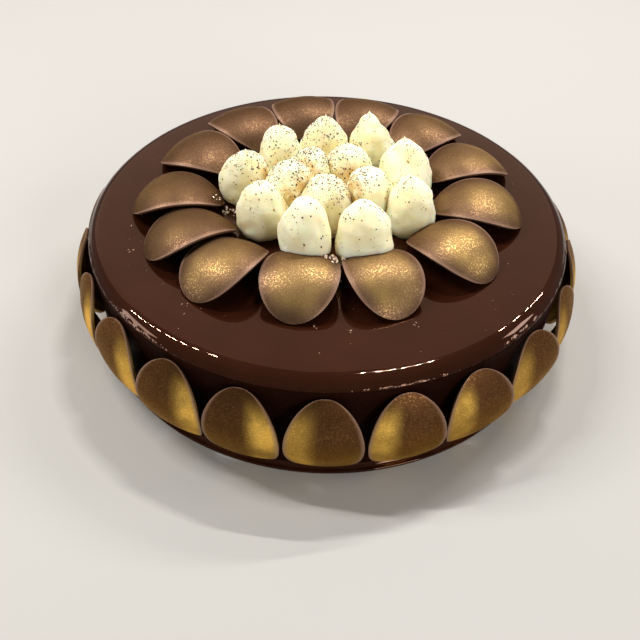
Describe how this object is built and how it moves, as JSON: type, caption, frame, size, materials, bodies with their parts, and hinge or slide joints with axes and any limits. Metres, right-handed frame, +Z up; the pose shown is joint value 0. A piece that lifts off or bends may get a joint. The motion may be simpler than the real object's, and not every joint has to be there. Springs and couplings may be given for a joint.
{
  "type": "tiramisu cake",
  "caption": "Round tiramisu cake under dark mirror glaze with bronze-dusted chocolate petals on the top and round the side and a nest of piped cream",
  "frame": {"origin": "centre of the flat base the cake rests on", "axes": "+Z up through the cake, -Y towards the side that the picture shows in front, +X to the right of it"},
  "size_m": [0.2353, 0.2365, 0.0907],
  "materials": {
    "mirror_glaze": "dark chocolate mirror glaze",
    "dusted_chocolate": "milk chocolate dusted with bronze and gold",
    "cream": "piped ivory cream, lightly dusted with cocoa"
  },
  "bodies": {
    "root": {"cake_body": "mirror_glaze", "top_petal_01": "dusted_chocolate", "top_petal_02": "dusted_chocolate", "top_petal_03": "dusted_chocolate", "top_petal_04": "dusted_chocolate", "top_petal_05": "dusted_chocolate", "top_petal_06": "dusted_chocolate", "top_petal_07": "dusted_chocolate", "top_petal_08": "dusted_chocolate", "top_petal_09": "dusted_chocolate", "top_petal_10": "dusted_chocolate", "top_petal_11": "dusted_chocolate", "top_petal_12": "dusted_chocolate", "top_petal_13": "dusted_chocolate", "side_petal_01": "dusted_chocolate", "side_petal_02": "dusted_chocolate", "side_petal_03": "dusted_chocolate", "side_petal_04": "dusted_chocolate", "side_petal_05": "dusted_chocolate", "side_petal_06": "dusted_chocolate", "side_petal_07": "dusted_chocolate", "side_petal_08": "dusted_chocolate", "side_petal_09": "dusted_chocolate", "side_petal_10": "dusted_chocolate", "side_petal_11": "dusted_chocolate", "side_petal_12": "dusted_chocolate", "side_petal_13": "dusted_chocolate", "side_petal_14": "dusted_chocolate", "side_petal_15": "dusted_chocolate", "side_petal_16": "dusted_chocolate", "side_petal_17": "dusted_chocolate", "side_petal_18": "dusted_chocolate", "side_petal_19": "dusted_chocolate", "side_petal_20": "dusted_chocolate", "side_petal_21": "dusted_chocolate", "side_petal_22": "dusted_chocolate", "cream_kiss_01": "cream", "cream_kiss_02": "cream", "cream_kiss_03": "cream", "cream_kiss_04": "cream", "cream_kiss_05": "cream", "cream_kiss_06": "cream", "cream_kiss_07": "cream", "cream_kiss_08": "cream", "cream_kiss_09": "cream", "cream_kiss_10": "cream", "cream_kiss_11": "cream", "cream_kiss_12": "cream", "cream_kiss_13": "cream", "cream_kiss_14": "cream"}
  },
  "joints": []
}
